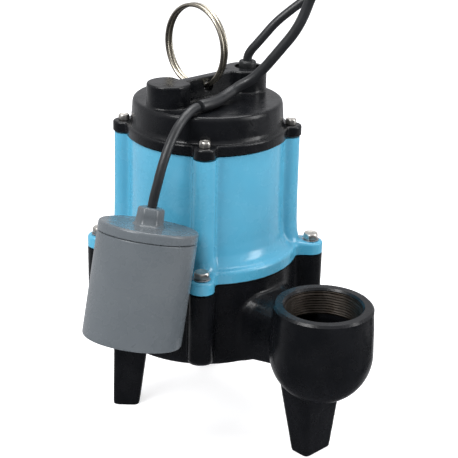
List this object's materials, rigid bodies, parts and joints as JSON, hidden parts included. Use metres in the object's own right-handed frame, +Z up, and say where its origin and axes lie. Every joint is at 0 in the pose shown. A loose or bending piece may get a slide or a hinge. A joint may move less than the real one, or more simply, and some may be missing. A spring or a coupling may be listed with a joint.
{
  "type": "submersible sump pump",
  "caption": "Submersible sump pump with a tethered float switch, three cast legs, an upright threaded discharge, a lifting ring and two mains cords",
  "frame": {"origin": "centre of the pump's footprint, float included and cords left out, on the floor under its feet", "axes": "+Z up along the motor shaft; +X to the right seen from the float's side, with the discharge at +X -Y"},
  "size_m": [0.4575, 0.2714, 0.3968],
  "materials": {
    "black_casting": "gloss black enamel over cast iron",
    "blue_casting": "gloss blue enamel over cast iron",
    "stainless": "bright turned stainless steel",
    "bright_wire": "bright plated spring wire",
    "black_rubber": "matte moulded rubber",
    "cord_jacket": "satin rubber jacket",
    "grey_float": "semi-gloss moulded plastic",
    "gasket": "matte fibre and rubber sheet",
    "steel": "ground steel",
    "lamination": "stacked sheet steel",
    "winding_copper": "varnished copper wire",
    "ceramic": "ground ceramic",
    "brass": "bright brass",
    "nylon": "moulded nylon",
    "raw_casting": "as-cast iron"
  },
  "bodies": {
    "pump": {"volute_casing": "black_casting", "motor_housing": "blue_casting", "top_cover": "black_casting", "volute_gasket": "gasket", "cover_gasket": "gasket", "cover_screw_right": "stainless", "cover_screw_rear": "stainless", "cover_screw_left": "stainless", "cover_screw_front": "stainless", "flange_bolt_right": "stainless", "flange_bolt_rear": "stainless", "flange_bolt_left": "stainless", "flange_bolt_front": "stainless", "flange_washer_right": "steel", "flange_washer_rear": "steel", "flange_washer_left": "steel", "flange_washer_front": "steel", "gland_nut": "black_rubber", "gland_bushing": "black_rubber", "stator_core": "lamination", "winding_upper": "winding_copper", "winding_lower": "winding_copper", "lower_bearing_outer": "steel", "upper_bearing_outer": "steel", "seal_seat": "ceramic", "capacitor": "nylon", "power_cord_run": "cord_jacket", "power_cord_coil": "cord_jacket", "power_cord_tail": "cord_jacket", "power_coil_tie": "black_rubber", "power_plug": "black_rubber", "power_blade_line": "brass", "power_blade_neutral": "brass", "power_ground_pin": "brass", "float_cord_run": "cord_jacket", "float_cord_coil": "cord_jacket", "float_cord_tail": "cord_jacket", "float_coil_tie": "black_rubber", "float_plug": "black_rubber", "float_blade_line": "brass", "float_blade_neutral": "brass", "float_ground_pin": "brass"},
    "rotor": {"shaft": "steel", "rotor_core": "lamination", "impeller": "raw_casting", "impeller_nut": "stainless", "seal_head": "ceramic", "seal_spring": "stainless", "lower_bearing_inner": "steel", "upper_bearing_inner": "steel"},
    "ring": {"lifting_ring": "bright_wire"},
    "float": {"float_cap": "grey_float", "float_cup": "grey_float", "float_neck": "grey_float", "float_tether": "cord_jacket", "float_ball_tube": "nylon", "float_switch_box": "black_rubber"},
    "ball": {"float_ball": "steel"},
    "lever": {"float_switch_lever": "steel"}
  },
  "joints": [
    {"name": "shaft_turn", "type": "hinge", "parent": "pump", "child": "rotor", "pos_m": [-0.0182, 0.0288, 0.12], "axis": [0, 0, 1], "continuous": true},
    {"name": "ring_swing", "type": "hinge", "parent": "pump", "child": "ring", "pos_m": [-0.02032, 0.02668, 0.282], "axis": [0.7071, -0.7071, 0], "range_deg": [-40, 68]},
    {"name": "float_rise", "type": "hinge", "parent": "pump", "child": "float", "pos_m": [-0.0242, -0.0178, 0.277], "axis": [-0.8461, 0.533, 0], "range_deg": [0, 90]},
    {"name": "ball_roll", "type": "slide", "parent": "float", "child": "ball", "axis": [0.1309, 0.2265, 0.9652], "range_m": [0, 0.031]},
    {"name": "lever_press", "type": "hinge", "parent": "float", "child": "lever", "pos_m": [-0.07115, -0.07684, 0.17359], "axis": [0, -0.9736, 0.2285], "range_deg": [0, 8], "stiffness_Nm_per_rad": 0.02}
  ]
}
